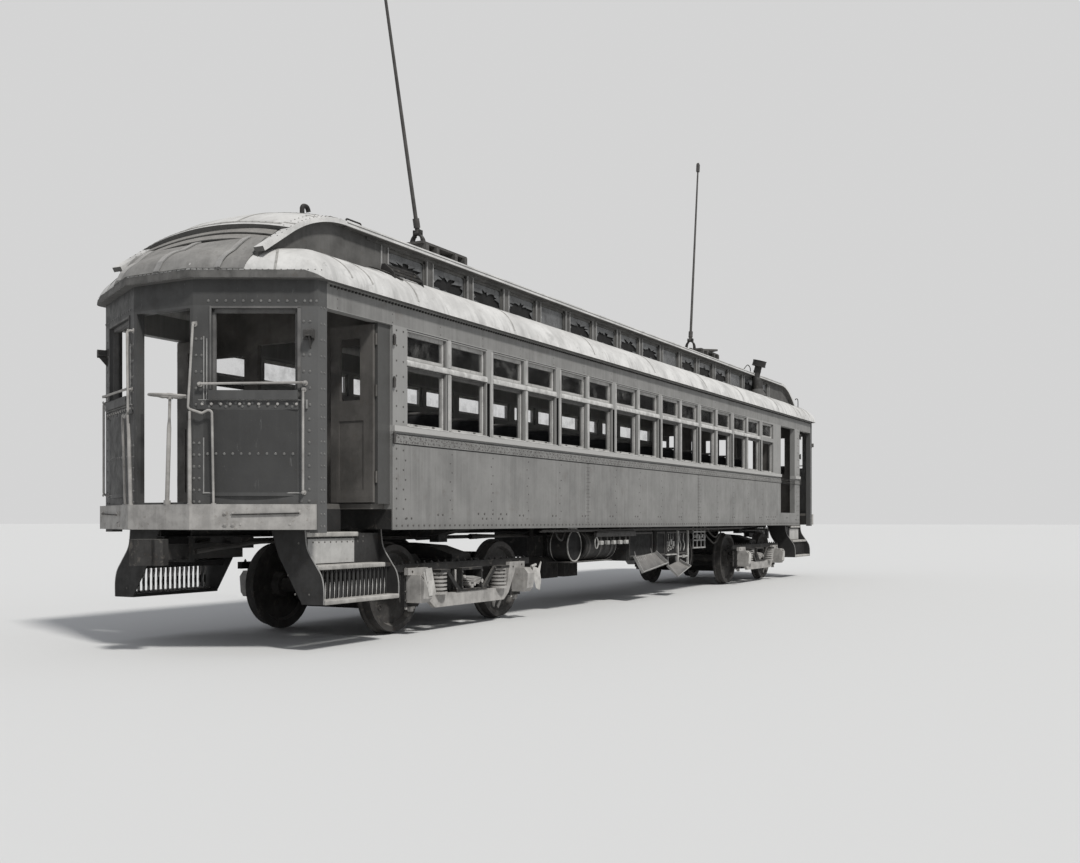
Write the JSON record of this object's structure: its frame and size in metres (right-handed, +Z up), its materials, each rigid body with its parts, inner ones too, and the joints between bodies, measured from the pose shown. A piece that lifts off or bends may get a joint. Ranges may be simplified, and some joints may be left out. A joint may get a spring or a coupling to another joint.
{
  "type": "interurban car",
  "caption": "Derelict steel interurban passenger car with a railroad roof, drop-equaliser trucks, vestibule steps and roof trolley poles.",
  "frame": {"origin": "centre of the bounding box's bottom, at the bottom of the wheel flanges", "axes": "+X along the car to its baggage end, +Y to its left side, +Z up"},
  "size_m": [18.3, 2.8, 8.1519],
  "materials": {
    "side_sheet": "matt, weathered",
    "end_sheet": "matt, weathered",
    "sash_paint": "worn paint",
    "clear_glass": "dusty",
    "floor_wood": "worn",
    "interior_wood": "varnish",
    "seat_cloth": "worn",
    "roof_canvas": "painted canvas, weathered",
    "clerestory_wood": "weathered",
    "roof_boards": "bare, weathered",
    "dark_iron": "dusty",
    "dusty_steel": "dusty",
    "step_steel": "worn",
    "wheel_steel": "rusted",
    "pole_steel": "rusted",
    "under_paint": "dusty black"
  },
  "bodies": {
    "car": {"air_drum": "under_paint", "buffers": "dusty_steel", "bulkhead_baggage": "interior_wood", "bulkhead_front": "interior_wood", "bulkhead_rear": "interior_wood", "clerestory_left": "clerestory_wood", "clerestory_right": "clerestory_wood", "couplers": "dark_iron", "equipment_boxes": "under_paint", "floor": "floor_wood", "grab_rails": "dusty_steel", "hood_front": "roof_canvas", "hood_rear": "roof_canvas", "resistor_grids": "dark_iron", "roof_deck_left": "roof_canvas", "roof_deck_right": "roof_canvas", "roof_end_front": "clerestory_wood", "roof_end_rear": "clerestory_wood", "roof_fittings": "dark_iron", "roof_upper": "roof_canvas", "sashes_left": "sash_paint", "sashes_right": "sash_paint", "seats_left": "seat_cloth", "seats_right": "seat_cloth", "side_wall_left": "side_sheet", "side_wall_right": "side_sheet", "steps_front": "step_steel", "steps_rear": "step_steel", "stove_pipe": "dark_iron", "trolley_boards": "roof_boards", "underframe": "under_paint", "upper_glass": "clear_glass", "vestibule_front": "end_sheet", "vestibule_rear": "end_sheet"},
    "truck_rear": {"equalisers_rear": "dusty_steel", "journal_boxes_rear": "dusty_steel", "motors_rear": "dark_iron", "truck_bolster_rear": "under_paint", "truck_frame_rear": "under_paint"},
    "wheels_rear_outer": {"wheelset_rear_outer": "wheel_steel"},
    "wheels_rear_inner": {"wheelset_rear_inner": "wheel_steel"},
    "trolley_base_rear": {"trolley_base_rear": "dark_iron"},
    "trolley_pole_rear": {"trolley_pole_rear": "pole_steel"},
    "door_rear_right": {"door_rear_right": "interior_wood"},
    "door_rear_left": {"door_rear_left": "interior_wood"},
    "truck_front": {"equalisers_front": "dusty_steel", "journal_boxes_front": "dusty_steel", "motors_front": "dark_iron", "truck_bolster_front": "under_paint", "truck_frame_front": "under_paint"},
    "wheels_front_outer": {"wheelset_front_outer": "wheel_steel"},
    "wheels_front_inner": {"wheelset_front_inner": "wheel_steel"},
    "trolley_base_front": {"trolley_base_front": "dark_iron"},
    "trolley_pole_front": {"trolley_pole_front": "pole_steel"},
    "door_front_right": {"door_front_right": "interior_wood"},
    "door_front_left": {"door_front_left": "interior_wood"},
    "baggage_door_right": {"baggage_door_right": "interior_wood"},
    "baggage_door_left": {"baggage_door_left": "interior_wood"}
  },
  "joints": [
    {"name": "truck_rear_swivel", "type": "hinge", "parent": "car", "child": "truck_rear", "pos_m": [-5.35, 0, 0.93], "axis": [0, 0, 1], "range_deg": [-8, 8]},
    {"name": "wheels_rear_outer_roll", "type": "hinge", "parent": "truck_rear", "child": "wheels_rear_outer", "pos_m": [-6.45, 0, 0.482], "axis": [0, 1, 0], "continuous": true},
    {"name": "wheels_rear_inner_roll", "type": "hinge", "parent": "truck_rear", "child": "wheels_rear_inner", "pos_m": [-4.25, 0, 0.482], "axis": [0, 1, 0], "continuous": true},
    {"name": "trolley_rear_swivel", "type": "hinge", "parent": "car", "child": "trolley_base_rear", "pos_m": [-4.82, 0, 4.424], "axis": [0, 0, 1], "continuous": true},
    {"name": "trolley_rear_tilt", "type": "hinge", "parent": "trolley_base_rear", "child": "trolley_pole_rear", "pos_m": [-4.82, 0, 4.64], "axis": [0, -1, 0], "range_deg": [0, 68], "stiffness_Nm_per_rad": 320, "springref_deg": -31.51},
    {"name": "door_rear_right_hinge", "type": "hinge", "parent": "car", "child": "door_rear_right", "pos_m": [-7.4113, -1.279, 2.2], "axis": [0, 0, 1], "range_deg": [0, 90]},
    {"name": "door_rear_left_hinge", "type": "hinge", "parent": "car", "child": "door_rear_left", "pos_m": [-7.4113, 1.279, 2.2], "axis": [0, 0, -1], "range_deg": [0, 90]},
    {"name": "truck_front_swivel", "type": "hinge", "parent": "car", "child": "truck_front", "pos_m": [5.35, 0, 0.93], "axis": [0, 0, 1], "range_deg": [-8, 8]},
    {"name": "wheels_front_outer_roll", "type": "hinge", "parent": "truck_front", "child": "wheels_front_outer", "pos_m": [6.45, 0, 0.482], "axis": [0, 1, 0], "continuous": true},
    {"name": "wheels_front_inner_roll", "type": "hinge", "parent": "truck_front", "child": "wheels_front_inner", "pos_m": [4.25, 0, 0.482], "axis": [0, 1, 0], "continuous": true},
    {"name": "trolley_front_swivel", "type": "hinge", "parent": "car", "child": "trolley_base_front", "pos_m": [4.44, 0, 4.424], "axis": [0, 0, 1], "continuous": true},
    {"name": "trolley_front_tilt", "type": "hinge", "parent": "trolley_base_front", "child": "trolley_pole_front", "pos_m": [4.44, 0, 4.64], "axis": [0, 1, 0], "range_deg": [0, 68], "stiffness_Nm_per_rad": 320, "springref_deg": -31.51},
    {"name": "door_front_right_hinge", "type": "hinge", "parent": "car", "child": "door_front_right", "pos_m": [7.4113, -1.279, 2.2], "axis": [0, 0, -1], "range_deg": [0, 90]},
    {"name": "door_front_left_hinge", "type": "hinge", "parent": "car", "child": "door_front_left", "pos_m": [7.4113, 1.279, 2.2], "axis": [0, 0, 1], "range_deg": [0, 90]},
    {"name": "baggage_door_right_slide", "type": "slide", "parent": "car", "child": "baggage_door_right", "axis": [1, 0, 0], "range_m": [-0.26, 0.66]},
    {"name": "baggage_door_left_slide", "type": "slide", "parent": "car", "child": "baggage_door_left", "axis": [1, 0, 0], "range_m": [-0.26, 0.66]}
  ]
}
